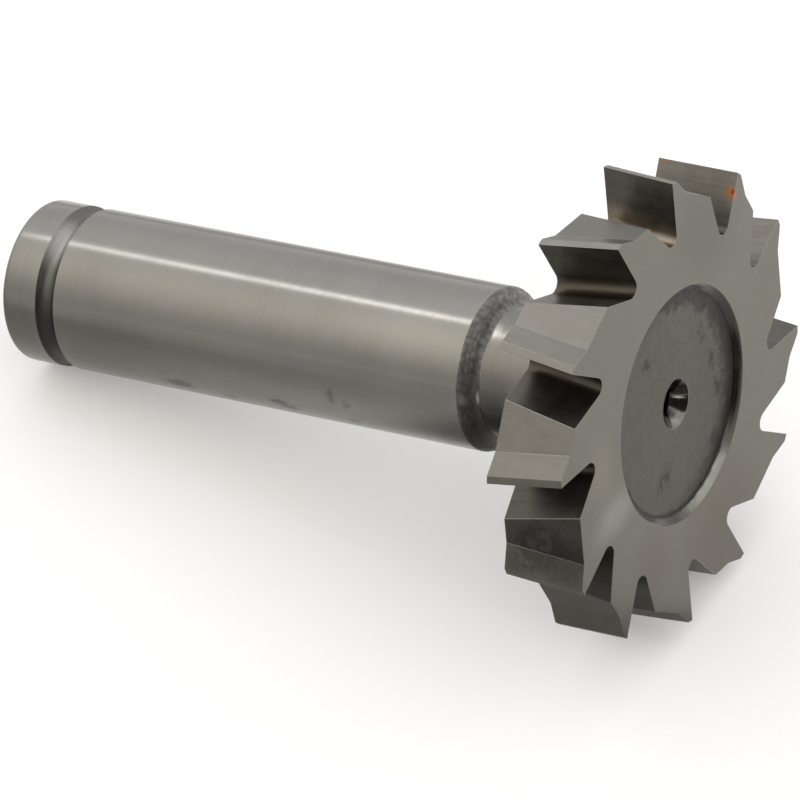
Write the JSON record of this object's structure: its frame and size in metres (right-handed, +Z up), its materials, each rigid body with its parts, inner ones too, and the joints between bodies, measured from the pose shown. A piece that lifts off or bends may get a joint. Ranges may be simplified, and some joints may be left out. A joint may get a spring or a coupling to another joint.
{
  "type": "woodruff keyseat cutter",
  "caption": "Slotting cutter for half-round key seats: a thin staggered-tooth disc on a short neck and a plain round shank, lying at rest.",
  "frame": {"origin": "centre of the bounding box on the bench that the cutter lies on", "axes": "+Z up; the cutter's axis lies above X, with the toothed head towards +X and raised by about 12 degrees"},
  "size_m": [0.0608, 0.0348, 0.0352],
  "materials": {
    "ground_steel": "ground high speed steel, with a dark unground shoulder and recess"
  },
  "bodies": {
    "root": {"keyseat_cutter": "ground_steel"}
  },
  "joints": []
}
